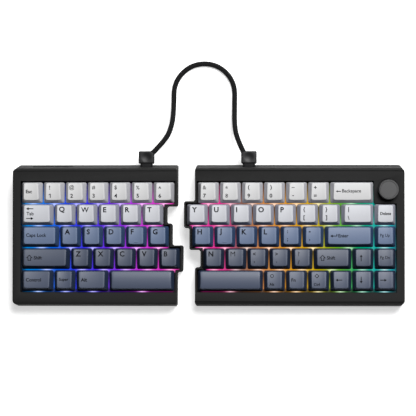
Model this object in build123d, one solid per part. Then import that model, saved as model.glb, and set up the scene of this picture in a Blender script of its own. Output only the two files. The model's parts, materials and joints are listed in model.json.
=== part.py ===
from build123d import *
import os
from math import cos, radians, sin, tan

# A split keyboard in two wedge-shaped halves, joined by a short bridge cable. Millimetres, +Z up, +Y to the
# rear, +X to the right, with the origin on the desk under the middle of the two cases.
# Each half is drawn in key-plane coordinates: x as on the desk, y from the front edge of the key field, and
# z up from the top of the switch plate, square to it. seated() then tilts it by the typing angle.

# Key grid and layout
key_pitch = 19.05
row_count = 5
typing_angle = 6.0
halves_gap = 15.5

# Case
side_margin = 7.4
front_margin = 11.0
rear_margin = 11.4
inner_wall = 2.0
rim_height = 9.0
rear_wall_lean = 14.0
bevel_width = 2.2
bevel_drop = 0.6
seam_drop = 2.5
floor_thickness = 2.2
outer_corner_radius = 3.6
inner_corner_cut = 1.2
opening_clearance = 0.5
cavity_clearance = 0.6
overrun = 60.0

# Rubber feet
foot_height = 1.2
foot_recess = 0.8
foot_length = 24.0
foot_width = 6.0
foot_side_inset = 14.0
foot_front_inset = 14.0
foot_rear_inset = 21.0
foot_clearance = 0.15

# Switch plate, gaskets and circuit board
plate_thickness = 1.5
plate_lap = 3.0
plate_clearance = 0.3
gasket_length = 22.0
gasket_width = 2.0
gasket_shares = (0.25, 0.75)
board_thickness = 1.6
board_clearance = 0.4
board_room = 2.3

# Switches
housing_body = 13.9
housing_top = 11.0
housing_height = 6.6
housing_floor = 1.0
housing_clearance = 0.05
stem_width = 7.0
stem_depth = 5.3
stem_slot_clearance = 0.2
stem_start = 0.2
stem_shoulder = 6.3
cross_width = 4.0
key_travel = 4.0
stem_stop_gap = 0.2

# Keycaps, row by row from the rear: heights at the middle of the dish, and insets of the walls by that height
cap_gap = 0.95
cap_lift = 6.0
cap_heights = (9.0, 7.9, 7.2, 7.7, 7.7)
cap_tilts = (6.0, 3.0, 0.0, -5.0, -5.0)
cap_front_inset = 2.6
cap_rear_inset = 1.0
cap_side_inset = 2.6
cap_wall = 1.5
dish_depth = 0.7
bar_top_radius = 30.0
homing_bar_length = 3.6
homing_bar_width = 0.7
homing_bar_height = 0.45
homing_bar_inset = 1.9

# Stabilizers of the wide keys, with their reach and the widths they start from as shares of the pitch
stabilizer_width = 6.6
stabilizer_depth = 12.2
stabilizer_height = 4.4
stabilizer_post = 3.4
stabilizer_cutout_gap = 0.15
short_reach_share = 0.627
long_reach_share = 1.0
short_from_share = 1.9
long_from_share = 2.9

# Volume knob and its encoder
knob_inset = 6.8
knob_rear_offset = 2.4
knob_radius = 8.55
knob_height = 8.2
knob_edge = 0.6
knob_lift = 0.8
knob_gap = 0.9
knob_recess_depth = 1.2
encoder_size = 12.0
encoder_height = 6.5
encoder_wall = 1.2
encoder_clearance = 0.4
encoder_cutout_gap = 1.0
bushing_wall = 0.45
shaft_radius = 3.0
shaft_bottom_gap = 1.2
shaft_top_wall = 1.8
shaft_fit = 0.05
rotor_side_gap = 0.4
rotor_sides = 12
rotor_thickness = 1.4
rotor_gap = 0.3
knob_travel = 0.5

# USB sockets and the bridge plugs
socket_width = 8.94
socket_height = 3.26
socket_wall = 0.3
socket_corner = 1.0
socket_length = 7.3
socket_back = 0.8
tongue_side_gap = 0.33
tongue_thickness = 0.7
tongue_length = 4.6
left_port_inset = 25.55
right_port_inset = 44.55
bay_width = 13.4
bay_wall = 1.2
bay_height = 9.0
port_clearance = 0.3
plug_width_gap = 0.045
plug_height_gap = 0.13
plug_end_gap = 0.5
plug_shell_wall = 0.45
neck_width = 10.8
neck_height = 5.6
neck_corner = 1.5
neck_length = 6.0
plug_width = 13.6
plug_depth = 10.9
plug_height = 7.0
plug_corner = 0.8

# Host port recess, with the mode switch beside the port
recess_start = 8.0
recess_length = 35.0
recess_height = 8.0
recess_depth = 2.1
recess_wall = 2.0
host_port_share = 0.72
mode_switch_share = 0.3
mode_body_length = 9.0
mode_body_depth = 3.4
mode_body_height = 3.6
mode_body_wall = 0.7
mode_lever_width = 1.6
mode_lever_height = 1.5
mode_lever_reach = 1.8
mode_lever_gap = 0.25
mode_travel = 3.0

# Battery
battery_length = 62.0
battery_width = 34.0
battery_height = 5.2
battery_inset = 34.0
battery_rear_gap = 3.7

# Bridge cable. Each leg starts at a place on its plug, given as shares of the plug's half width and half
# depth, and its steps are measured from there. The height shares are of the drop from the plug to the desk,
# and the bend share is what an arc may take of its shorter run. The section has few sides.
cable_radius = 2.25
cable_sides = 10
cable_desk_gap = 0.05
left_exit_shares = (0.757, 0.714)
right_exit_shares = (-0.669, 0.787)
left_cable_steps = ((11.7, 11.7), (16.9, 26.3), (17.9, 43.2), (17.9, 66.7), (33.7, 82.5))
right_cable_steps = ((-6.5, 13.5), (-8.3, 28.4), (-8.2, 42.8), (-8.2, 66.3), (-24.0, 82.1))
cable_height_shares = (0.98, 0.55, 0.055, 0.0, 0.0)
bend_share = 0.45


def single_keys(letters):
    """One place of one unit for each letter, each with a node of its own."""
    return [("key_" + letter, 1) for letter in letters]


def like_keys(node, count):
    """Places of one unit whose keys share a node."""
    return [(node, 1)] * count


# Rows from the rear, each from the outer edge of its half inwards; widths are shares of the key pitch
left_key_shares = (
    like_keys("left_edge_keys", 1) + like_keys("number_keys", 6),
    [("left_edge_keys", 1.5)] + single_keys("qwert"),
    [("left_edge_keys", 1.75)] + single_keys("asdfg"),
    [("left_edge_keys", 2.25)] + single_keys("zxcvb"),
    [("modifier_keys", 1.5), ("modifier_keys", 1), ("modifier_keys", 1.5), ("left_space_bar", 3)],
)
right_key_shares = (
    [("knob_place", 1), ("right_edge_keys", 2)] + like_keys("number_keys", 6),
    [("navigation_keys", 1), ("right_edge_keys", 1.5)]
    + like_keys("punctuation_keys", 2)
    + single_keys("poiuy"),
    [("navigation_keys", 1), ("right_edge_keys", 2.25)]
    + like_keys("punctuation_keys", 2)
    + single_keys("lkjh"),
    [("navigation_keys", 1), ("arrow_keys", 1), ("right_edge_keys", 1.75)]
    + like_keys("punctuation_keys", 3)
    + single_keys("mn"),
    like_keys("arrow_keys", 3) + like_keys("modifier_keys", 3) + [("right_space_bar", 3)],
)
homing_keys = ("key_f", "key_j")


# Places that follow from the sizes above
tilt_sine = sin(radians(typing_angle))
tilt_cosine = cos(radians(typing_angle))
field_depth = row_count * key_pitch
field_rear = field_depth + rear_margin


def row_reaches(rows):
    """How far each row reaches inwards from the outer edge of its key field, from the rear row forwards."""
    return [key_pitch * sum(share for _, share in row) for row in rows]


left_reaches = row_reaches(left_key_shares)
right_reaches = row_reaches(right_key_shares)
half_span = (2 * side_margin + 2 * inner_wall + left_reaches[0] + right_reaches[0] + halves_gap) / 2
board_drop = key_travel + stem_stop_gap + housing_floor - stem_start
floor_top = foot_height + floor_thickness
plane_height = floor_top + board_room + board_thickness + board_drop
front_height = plane_height - front_margin * tilt_sine + rim_height * tilt_cosine
rim_front_y = -front_margin * tilt_cosine - rim_height * tilt_sine
rim_rear_y = field_rear * tilt_cosine - rim_height * tilt_sine
rim_rear_z = plane_height + field_rear * tilt_sine + rim_height * tilt_cosine
rear_foot_y = rim_rear_y + (rim_rear_z - foot_height) * tan(radians(rear_wall_lean))
plane_y = -(rim_front_y + rear_foot_y) / 2
key_plane = Pos(0, plane_y, plane_height) * Rot(typing_angle, 0, 0)
board_top = -board_drop
board_bottom = board_top - board_thickness
port_z = board_bottom - socket_height / 2
bay_rear = field_rear - bay_wall
recess_back = field_rear - recess_depth
neck_start = bay_rear + port_clearance / 3
plug_front = neck_start + neck_length
plug_rear = plug_front + plug_depth
plug_shell_width = socket_width - 2 * socket_wall - 2 * plug_width_gap
plug_shell_height = socket_height - 2 * socket_wall - 2 * plug_height_gap
plug_shell_start = bay_rear - port_clearance - socket_length + socket_back + plug_end_gap
switch_cutout = housing_body + 2 * housing_clearance
knob_y = (row_count - 1 / 2) * key_pitch + knob_rear_offset
knob_floor = rim_height - knob_recess_depth
bushing_radius = shaft_radius + shaft_fit + bushing_wall

# Each half: the direction from its outer edge inwards, the x of the field's outer edge, and its rows
halves = {
    "left": (1, side_margin - half_span, left_key_shares),
    "right": (-1, half_span - side_margin, right_key_shares),
}
left_port_x = halves["left"][1] + left_reaches[0] - left_port_inset
right_port_x = halves["right"][1] - right_reaches[0] + right_port_inset
knob_x = halves["right"][1] - knob_inset


def seated(shape):
    """The shape moved from key-plane coordinates to its place on the desk."""
    return key_plane * shape


def block(x_range, y_range, z_range):
    """A box between the given pairs of limits."""
    sizes = [high - low for low, high in (x_range, y_range, z_range)]
    middle = [(high + low) / 2 for low, high in (x_range, y_range, z_range)]
    return Pos(*middle) * Box(*sizes)


def between(inward, start, end):
    """Two distances inwards from the same line, as limits in rising x."""
    return tuple(sorted((inward * start, inward * end)))


def prism(outline, low, high):
    """A flat outline raised from one height to another."""
    return Pos(0, 0, low) * extrude(outline, amount=high - low, dir=(0, 0, 1))


def stepped_outline(side, inner_grow, outer_grow, front_grow, rear_grow):
    """The stepped outline of a half's key field, grown on each side by its own amount."""
    inward, field_x, rows = halves[side]
    reaches = row_reaches(rows)[::-1]
    outer_x = field_x - inward * outer_grow
    points = [(outer_x, -front_grow)]
    for row, reach in enumerate(reaches):
        x = field_x + inward * (reach + inner_grow)
        front, rear = row * key_pitch, (row + 1) * key_pitch
        if row == 0:
            front -= front_grow
        else:
            front += inner_grow if reach < reaches[row - 1] else -inner_grow
        if row == row_count - 1:
            rear += rear_grow
        else:
            rear += inner_grow if reach > reaches[row + 1] else -inner_grow
        points += [(x, front), (x, rear)]
    points.append((outer_x, field_depth + rear_grow))
    return make_face(Polyline(*points, close=True))


def key_places(side):
    """Node, row from the rear, middle of the place and width of its cap, for each key of a half."""
    inward, field_x, rows = halves[side]
    places = []
    for row, keys in enumerate(rows):
        y = (row_count - row - 1 / 2) * key_pitch
        reach = 0
        for node, share in keys:
            width = share * key_pitch
            x = field_x + inward * (reach + width / 2)
            if node != "knob_place":
                places.append((node, row, x, y, width - cap_gap))
            reach += width
    return places


def stabilizer_offsets(width):
    """How far to each side of a wide key's middle its stabilizers stand."""
    if width < short_from_share * key_pitch:
        return ()
    reach = key_pitch * (short_reach_share if width < long_from_share * key_pitch else long_reach_share)
    return (-reach, reach)


# Cases


def case_body(side):
    """The whole wedge of one half, before it is parted and hollowed."""
    plan = seated(prism(stepped_outline(side, inner_wall, side_margin, overrun, overrun), -overrun, overrun))
    profile = Polyline(
        (plane_y + rim_front_y, foot_height),
        (plane_y + rim_front_y, front_height),
        (plane_y + rim_rear_y, rim_rear_z),
        (plane_y + rear_foot_y, foot_height),
        close=True,
    )
    wedge = extrude(Plane.YZ * make_face(profile), amount=half_span + overrun, both=True)
    body = wedge & plan
    outer_x = abs(halves[side][1]) + side_margin
    upright = [e for e in body.edges() if abs((e @ 1 - e @ 0).Z) > abs((e @ 1 - e @ 0).Y)]
    inner = [e for e in upright if abs(abs((e @ 0).X) - outer_x) > inner_wall]
    body = chamfer(inner, inner_corner_cut)
    upright = [e for e in body.edges() if abs((e @ 1 - e @ 0).Z) > abs((e @ 1 - e @ 0).Y)]
    outer = [e for e in upright if abs(abs((e @ 0).X) - outer_x) < inner_corner_cut]
    return bevelled(fillet(outer, outer_corner_radius))


def bevelled(body):
    """The shallow bevels along the front and rear edges of the rim."""
    for y, toward in ((-front_margin, -1), (field_rear, 1)):
        bevel = make_face(
            Polyline(
                (y - toward * bevel_width, rim_height),
                (y + toward * overrun, rim_height - bevel_drop * (overrun + bevel_width) / bevel_width),
                (y + toward * overrun, rim_height + overrun),
                (y - toward * bevel_width, rim_height + overrun),
                close=True,
            )
        )
        body -= seated(extrude(Plane.YZ * bevel, amount=half_span + overrun, both=True))
    return body


def top_case(side, body):
    """The upper shell: a rim round the key opening, rebated beneath for the plate."""
    inward, field_x, _ = halves[side]
    above = seated(prism(Rectangle(4 * half_span, 2 * overrun + 2 * field_rear), -seam_drop, overrun))
    shell = body & above
    grow = opening_clearance
    opening = prism(stepped_outline(side, grow, grow, grow, grow), -overrun, overrun)
    if side == "right":
        block_x = between(-1, 0, key_pitch)
        knob_block = block(
            (field_x + block_x[0], field_x + block_x[1] + grow),
            (field_depth - key_pitch, field_depth + grow),
            (-overrun, overrun),
        )
        opening -= knob_block
    lap = plate_lap + plate_clearance
    rebate = prism(stepped_outline(side, grow, lap, lap, lap), -overrun, plate_gap_top())
    shell -= seated(opening)
    shell -= seated(rebate)
    if side == "right":
        shell -= seated(knob_cuts())
    return shell


def plate_gap_top():
    """Height of the rebate over the plate, which a gasket fills."""
    return seam_drop - plate_thickness


def knob_cuts():
    """The shallow round recess under the knob, the bushing's hole and the encoder's pocket."""
    recess = Pos(knob_x, knob_y, knob_floor + overrun / 2) * Cylinder(knob_radius + knob_gap, overrun)
    hole = Pos(knob_x, knob_y, 0) * Cylinder(bushing_radius + encoder_clearance, 2 * overrun)
    pocket_size = encoder_size + 2 * encoder_clearance
    pocket_top = board_top + encoder_height + encoder_clearance
    pocket = Pos(knob_x, knob_y, pocket_top - overrun / 2) * Box(pocket_size, pocket_size, overrun)
    return recess + hole + pocket


def bottom_case(side, body):
    """The lower tray with its rear bays, port holes and foot recesses."""
    inward, field_x, _ = halves[side]
    below = seated(prism(Rectangle(4 * half_span, 2 * overrun + 2 * field_rear), -overrun, -seam_drop))
    tray = body & below
    grow = cavity_clearance
    cavity = seated(prism(stepped_outline(side, opening_clearance, grow, grow, grow), -overrun, 0))
    all_round = (-2 * half_span, 2 * half_span)
    above_floor = block(all_round, all_round, (floor_top, overrun))
    tray -= cavity & above_floor
    port_x = left_port_x if side == "left" else right_port_x
    tray -= seated(port_bay(port_x, bay_width, bay_rear))
    hole = cornered(neck_width + 2 * port_clearance, neck_height + 2 * port_clearance, neck_corner)
    tray -= seated(along_y(hole, port_x, port_z, bay_rear - port_clearance, bay_rear + overrun))
    if side == "left":
        tray -= seated(host_recess_cuts())
    for pad in foot_pads(side, foot_clearance, foot_height + foot_recess):
        tray -= pad
    return tray


def along_y(sketch, x, z, front, rear):
    """A section drawn looking rearwards, centred on x and z, and run from front to rear."""
    return Pos(x, front, z) * extrude(Plane.XZ * sketch, amount=rear - front, dir=(0, 1, 0))


def cornered(width, height, corner):
    """A rectangle with cut corners."""
    return chamfer(Rectangle(width, height).vertices(), corner)


def port_bay(x, width, rear):
    """The space behind the key field for a socket on the board's edge."""
    return block(
        (x - width / 2, x + width / 2),
        (field_depth - cavity_clearance, rear),
        (-seam_drop - bay_height, overrun),
    )


def recess_limits():
    """The recess's limits in x, and in z in the key plane's frame."""
    start = halves["left"][1] + recess_start
    return (start, start + recess_length), (port_z - recess_height / 2, port_z + recess_height / 2)


def recess_x(share):
    """A place along the recess, as a share of its length."""
    limits = recess_limits()[0]
    return limits[0] + share * (limits[1] - limits[0])


def host_recess_cuts():
    """The recess, the bay before it, and the holes for the host socket and the lever."""
    x_range, z_range = recess_limits()
    recess = block(x_range, (recess_back, recess_back + overrun), z_range)
    bay_x = (x_range[0] + recess_wall, x_range[1] - recess_wall)
    bay = block(
        bay_x,
        (field_depth - cavity_clearance, recess_back - recess_wall),
        (-seam_drop - bay_height, overrun),
    )
    gap = socket_wall / 2
    hole = cornered(socket_width + 2 * gap, socket_height + 2 * gap, socket_corner)
    through_wall = (recess_back - 2 * recess_wall, recess_back + recess_wall)
    port = along_y(hole, recess_x(host_port_share), port_z, *through_wall)
    slot_width = mode_lever_width + mode_travel + 2 * mode_lever_gap
    slot = Rectangle(slot_width, mode_lever_height + 2 * mode_lever_gap)
    lever_middle = recess_x(mode_switch_share) + mode_travel / 2
    slit = along_y(slot, lever_middle, mode_z(), *through_wall)
    return recess + bay + port + slit


def mode_z():
    """Height of the mode switch's lever, under the board."""
    return board_bottom - mode_body_height / 2


def foot_pads(side, grow, top):
    """The four feet of a half, or with grow the recesses that take them."""
    inward, field_x, rows = halves[side]
    outer_x = field_x - inward * side_margin
    inner_x = field_x + inward * min(row_reaches(rows)[0], row_reaches(rows)[-1])
    half_length, half_width = foot_length / 2 + grow, foot_width / 2 + grow
    front_y = plane_y + rim_front_y + foot_front_inset
    rear_y = plane_y + rim_rear_y - foot_rear_inset
    pads = []
    for x in (outer_x + inward * foot_side_inset + inward * foot_length / 2, inner_x - inward * foot_length):
        for y in (front_y, rear_y):
            pads.append(block((x - half_length, x + half_length), (y - half_width, y + half_width), (0, top)))
    return pads


# Plates, gaskets and boards


def switch_plate(side):
    """The plate that the switches clip into, with a square cut-out for each."""
    inner = opening_clearance - plate_clearance
    plate = prism(stepped_outline(side, inner, plate_lap, plate_lap, plate_lap), -plate_thickness, 0)
    cutout_width = stabilizer_width + 2 * stabilizer_cutout_gap
    cutout_depth = stabilizer_depth + 2 * stabilizer_cutout_gap
    cuts = []
    for _, _, x, y, width in key_places(side):
        cuts.append(Pos(x, y, 0) * Box(switch_cutout, switch_cutout, overrun))
        for offset in stabilizer_offsets(width):
            cuts.append(Pos(x + offset, y, 0) * Box(cutout_width, cutout_depth, overrun))
    if side == "right":
        encoder_cutout = encoder_size + 2 * encoder_cutout_gap
        cuts.append(Pos(knob_x, knob_y, 0) * Box(encoder_cutout, encoder_cutout, overrun))
    return seated(plate - cuts)


def plate_gaskets():
    """Soft strips over and under the plate's front and rear edges."""
    strips = []
    for inward, field_x, rows in halves.values():
        for share in gasket_shares:
            x = field_x + inward * share * row_reaches(rows)[0]
            for y in (-plate_lap / 2 - plate_clearance, field_depth + plate_lap / 2 + plate_clearance):
                x_range = (x - gasket_length / 2, x + gasket_length / 2)
                y_range = (y - gasket_width / 2, y + gasket_width / 2)
                for z_range in ((0, plate_gap_top()), (-seam_drop, -plate_thickness)):
                    strips.append(seated(block(x_range, y_range, z_range)))
    return strips


def circuit_board(side):
    """The board under the switches, with a tab behind the field for each socket."""
    grow = cavity_clearance - board_clearance
    inner = opening_clearance - board_clearance
    board = prism(stepped_outline(side, inner, grow, grow, grow), board_bottom, board_top)
    tab_width = bay_width - 2 * board_clearance
    port_x = left_port_x if side == "left" else right_port_x
    tabs = [(port_x - tab_width / 2, port_x + tab_width / 2, bay_rear - board_clearance)]
    if side == "left":
        x_range = recess_limits()[0]
        inset = recess_wall + board_clearance
        tabs.append((x_range[0] + inset, x_range[1] - inset, recess_back - recess_wall - board_clearance))
    for low, high, rear in tabs:
        board += block((low, high), (field_depth - grow, rear), (board_bottom, board_top))
    return seated(board)


# Switches and stabilizers


def tapered(width, depth, height, side, front, rear):
    """A block that stands on the origin, its walls leaning in by the given insets over its height."""
    lying = Wedge(width, height, depth, side, rear, width - side, depth - front)
    return Pos(0, 0, height / 2) * Rot(90, 0, 0) * lying


def switch_housing():
    """One switch's housing on the origin: a square body under a tapered cover, with the stem's slot."""
    body = block(*[(-housing_body / 2, housing_body / 2)] * 2, (board_top, 0))
    cover = tapered(housing_body, housing_body, housing_height, *[(housing_body - housing_top) / 2] * 3)
    slot = Pos(0, 0, board_top + housing_floor + overrun / 2) * Box(
        stem_width + 2 * stem_slot_clearance, stem_depth + 2 * stem_slot_clearance, overrun
    )
    return body + cover - slot


def stabilizer_housing():
    """One stabilizer's housing, with the shaft that its post slides in."""
    body = block(
        (-stabilizer_width / 2, stabilizer_width / 2),
        (-stabilizer_depth / 2, stabilizer_depth / 2),
        (board_top, stabilizer_height),
    )
    size = stabilizer_post + 2 * stem_slot_clearance
    return body - Pos(0, 0, board_top + housing_floor + overrun / 2) * Box(size, size, overrun)


def switches():
    """Housings and stabilizer housings for every key of both halves."""
    housings, stabilizers = [], []
    housing, stabilizer = switch_housing(), stabilizer_housing()
    for side in halves:
        for _, _, x, y, width in key_places(side):
            housings.append(seated(Pos(x, y, 0) * housing))
            for offset in stabilizer_offsets(width):
                stabilizers.append(seated(Pos(x + offset, y, 0) * stabilizer))
    return housings, stabilizers


# Keycaps and stems


def cap_inside_height(row):
    """Height of a cap's flat inner ceiling over its skirt."""
    return cap_heights[row] - cap_wall


def cap_peak(row):
    """Height of the uncut cap, from which the dish takes the whole top."""
    half_depth = (key_pitch - cap_gap) / 2
    return cap_heights[row] + dish_depth + cap_wall + half_depth * tan(radians(abs(cap_tilts[row])))


def cap_shell(row, width):
    """A hollow tapered cap, before its top is shaped."""
    depth = key_pitch - cap_gap
    peak, inside_height = cap_peak(row), cap_inside_height(row)
    slopes = [inset / cap_heights[row] for inset in (cap_side_inset, cap_front_inset, cap_rear_inset)]
    outside = tapered(width, depth, peak, *[slope * peak for slope in slopes])
    mouth = (width - 2 * cap_wall, depth - 2 * cap_wall)
    return outside - tapered(*mouth, inside_height, *[slope * inside_height for slope in slopes])


def keycap(node, row, width):
    """One keycap: a hollow cap with a dished top, or a rounded one on a space bar."""
    shell = cap_shell(row, width)
    top_width = width - 2 * cap_side_inset
    height = cap_heights[row]
    if node.endswith("space_bar"):
        middle = Pos(0, 0, height - bar_top_radius)
        return shell & (middle * Rot(0, 90, 0) * Cylinder(bar_top_radius, width))
    radius = top_width**2 / (8 * dish_depth) + dish_depth / 2
    dish = Rot(cap_tilts[row], 0, 0) * Pos(0, 0, radius) * Rot(90, 0, 0) * Cylinder(radius, 2 * key_pitch)
    cap = shell - Pos(0, 0, height) * dish
    if node in homing_keys:
        bar_y = homing_bar_inset - (key_pitch - cap_gap) / 2 + cap_front_inset
        top = height + homing_bar_height
        bar = block(
            (-homing_bar_length / 2, homing_bar_length / 2),
            (bar_y - homing_bar_width / 2, bar_y + homing_bar_width / 2),
            (top - 2 * homing_bar_height, top),
        )
        cap += bar
    return cap


def key_stem(row):
    """The slider in the switch, with the post that the cap is pressed on."""
    slider = block(
        (-stem_width / 2, stem_width / 2), (-stem_depth / 2, stem_depth / 2), (stem_start, stem_shoulder)
    )
    top = cap_lift + cap_inside_height(row)
    return slider + block(*[(-cross_width / 2, cross_width / 2)] * 2, (stem_shoulder, top))


def stabilizer_posts(row, width):
    """The posts under a wide cap that run in its stabilizers."""
    top = cap_lift + cap_inside_height(row)
    half = stabilizer_post / 2
    return [
        block((offset - half, offset + half), (-half, half), (stem_start, top))
        for offset in stabilizer_offsets(width)
    ]


def keys():
    """Caps with their stems, gathered by node."""
    nodes = {}
    for side in halves:
        for node, row, x, y, width in key_places(side):
            solids = [Pos(0, 0, cap_lift) * keycap(node, row, width), key_stem(row)]
            solids += stabilizer_posts(row, width)
            nodes.setdefault(node, []).extend(seated(Pos(x, y, 0) * solid) for solid in solids)
    return nodes


# Knob and encoder


def turned(points):
    """A solid of revolution about the knob's axis, from radius and height points."""
    return Pos(knob_x, knob_y, 0) * revolve(Plane.XZ * make_face(Polyline(*points, close=True)), Axis.Z)


def encoder_limits():
    """Heights of the encoder's underside, its cover and the space for the rotor."""
    bottom = board_top
    top = bottom + encoder_height
    rotor_low = top - encoder_wall - rotor_gap - rotor_thickness
    return bottom, top, rotor_low


def encoder_body():
    """The encoder's box, open to the board below, with the bushing that guides the shaft."""
    bottom, top, _ = encoder_limits()
    box = Pos(knob_x, knob_y, (bottom + top) / 2) * Box(encoder_size, encoder_size, encoder_height)
    bushing = turned([(0, top), (bushing_radius, top), (bushing_radius, knob_floor), (0, knob_floor)])
    inner_size = encoder_size - 2 * encoder_wall
    chamber = Pos(knob_x, knob_y, top - encoder_wall - overrun / 2) * Box(inner_size, inner_size, overrun)
    bore = Pos(knob_x, knob_y, top) * Cylinder(shaft_radius + shaft_fit, overrun)
    return seated(box + bushing - chamber - bore)


def encoder_rotor():
    """The ring that turns inside the encoder and lets the shaft slide through it."""
    low = encoder_limits()[2]
    rotor_radius = encoder_size / 2 - encoder_wall - rotor_side_gap
    ring = RegularPolygon(rotor_radius, rotor_sides) - Circle(shaft_radius + shaft_fit)
    return seated(Pos(knob_x, knob_y, 0) * prism(ring, low, low + rotor_thickness))


def knob_limits():
    """Heights of the knob's underside and top."""
    low = knob_floor + knob_lift
    return low, low + knob_height


def encoder_shaft():
    """The shaft that the knob sits on."""
    low = board_top + shaft_bottom_gap + knob_travel + encoder_wall / 2
    high = knob_limits()[1] - shaft_top_wall
    return seated(turned([(0, low), (shaft_radius, low), (shaft_radius, high), (0, high)]))


def volume_knob():
    """The knob, with its top edge bevelled and a blind bore for the shaft."""
    low, high = knob_limits()
    bore = shaft_radius + shaft_fit
    return seated(
        turned(
            [
                (bore, low),
                (knob_radius, low),
                (knob_radius, high - knob_edge),
                (knob_radius - knob_edge, high),
                (0, high),
                (0, high - shaft_top_wall),
                (bore, high - shaft_top_wall),
            ]
        )
    )


# Sockets, plugs and cable


def usb_socket(x, mouth_y):
    """A socket shell with its tongue, its mouth at mouth_y."""
    back_y = mouth_y - socket_length
    shell = along_y(cornered(socket_width, socket_height, socket_corner), x, port_z, back_y, mouth_y)
    inner_corner = socket_corner - socket_wall / 2
    inside = cornered(socket_width - 2 * socket_wall, socket_height - 2 * socket_wall, inner_corner)
    shell -= along_y(inside, x, port_z, back_y + socket_back, mouth_y + overrun)
    tongue_width = plug_shell_width - 2 * plug_shell_wall - 2 * tongue_side_gap
    tongue = Rectangle(tongue_width, tongue_thickness)
    shell += along_y(tongue, x, port_z, back_y, back_y + socket_back + tongue_length)
    return seated(shell)


def usb_sockets():
    """The two bridge sockets and the host socket."""
    return [
        usb_socket(left_port_x, bay_rear - port_clearance),
        usb_socket(right_port_x, bay_rear - port_clearance),
        usb_socket(recess_x(host_port_share), recess_back - socket_wall),
    ]


def bridge_plug(x, end, beyond):
    """A right-angled plug, with the corner that its cable leaves cut square to the cable."""
    body = block(
        (x - plug_width / 2, x + plug_width / 2),
        (plug_front, plug_rear),
        (port_z - plug_height / 2, port_z + plug_height / 2),
    )
    body = chamfer(body.edges(), plug_corner)
    neck = cornered(neck_width, neck_height, neck_corner)
    body += along_y(neck, x, port_z, neck_start, plug_front + plug_corner)
    tube = cornered(plug_shell_width, plug_shell_height, socket_corner)
    shell = along_y(tube, x, port_z, plug_shell_start, neck_start)
    wall = plug_shell_wall
    hollow = cornered(plug_shell_width - 2 * wall, plug_shell_height - 2 * wall, socket_corner - wall)
    shell -= along_y(hollow, x, port_z, plug_shell_start - overrun, neck_start - wall)
    exit_plane = Plane(origin=end, z_dir=beyond - end)
    corner = exit_plane * Pos(0, 0, overrun / 2) * Box(plug_width, overrun, overrun)
    return [seated(body) - corner, seated(shell)]


def cable_leg(port_x, exit_shares, steps):
    """The cable's route points from one plug to the rear of the loop."""
    across, along = exit_shares
    middle_y = (plug_front + plug_rear) / 2
    exit_x = port_x + across * plug_width / 2
    exit_y = middle_y + along * plug_depth / 2
    end = (key_plane * Pos(exit_x, exit_y, port_z)).position
    desk = cable_radius + cable_desk_gap
    points = [end]
    for (step_x, step_y), share in zip(steps, cable_height_shares):
        points.append(Vector(end.X + step_x, end.Y + step_y, desk + share * (end.Z - desk)))
    return points


def cable_route():
    """The route points from the left plug to the right one."""
    left = cable_leg(left_port_x, left_exit_shares, left_cable_steps)
    right = cable_leg(right_port_x, right_exit_shares, right_cable_steps)
    return left + right[::-1]


def bridge_cable():
    """The free cable: straight runs joined by tangent arcs, each as large as its two runs allow."""
    points = cable_route()
    runs = [end - start for start, end in zip(points, points[1:])]
    radii = []
    for before, after in zip(runs, runs[1:]):
        half_turn = radians(before.get_angle(after) / 2)
        radii.append(bend_share * min(before.length, after.length) / tan(half_turn))
    path = FilletPolyline(*points, radius=radii)
    section = Plane(origin=points[0], z_dir=runs[0]) * RegularPolygon(cable_radius, cable_sides)
    tube = sweep(section, path=path)
    print("cable route", [tuple(round(value, 2) for value in point) for point in points])
    print("cable length", round(path.length, 1), "volume", round(tube.volume, 1))
    print("section times length", round(section.area * path.length, 1))
    print("cable radii", [round(radius, 1) for radius in radii])
    return tube


# Small pieces


def rubber_feet():
    """The feet of both halves, seated in their recesses."""
    return [pad for side in halves for pad in foot_pads(side, 0, foot_height + foot_recess)]


def mode_switch_body():
    """The slide switch under the board's edge, open to the rear for its lever."""
    x = recess_x(mode_switch_share) + mode_travel / 2
    rear = recess_back - recess_wall - board_clearance
    body = block(
        (x - mode_body_length / 2, x + mode_body_length / 2),
        (rear - mode_body_depth, rear),
        (board_bottom - mode_body_height, board_bottom),
    )
    channel_length = mode_body_length - 2 * mode_body_wall
    channel_height = mode_lever_height + 2 * mode_lever_gap
    channel = block(
        (x - channel_length / 2, x + channel_length / 2),
        (rear - mode_body_depth + mode_body_wall, rear + overrun),
        (mode_z() - channel_height / 2, mode_z() + channel_height / 2),
    )
    return seated(body - channel)


def mode_slider():
    """The lever of the mode switch, at the outer end of its travel."""
    x = recess_x(mode_switch_share)
    front = recess_back - recess_wall - board_clearance - mode_body_depth + mode_body_wall + mode_lever_gap
    return seated(
        block(
            (x - mode_lever_width / 2, x + mode_lever_width / 2),
            (front, recess_back + mode_lever_reach),
            (mode_z() - mode_lever_height / 2, mode_z() + mode_lever_height / 2),
        )
    )


def battery():
    """The flat cell on the floor of the left half."""
    start = halves["left"][1] + battery_inset
    rear = plane_y + field_depth * tilt_cosine - battery_rear_gap
    return block(
        (start, start + battery_length), (rear - battery_width, rear), (floor_top, floor_top + battery_height)
    )


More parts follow.
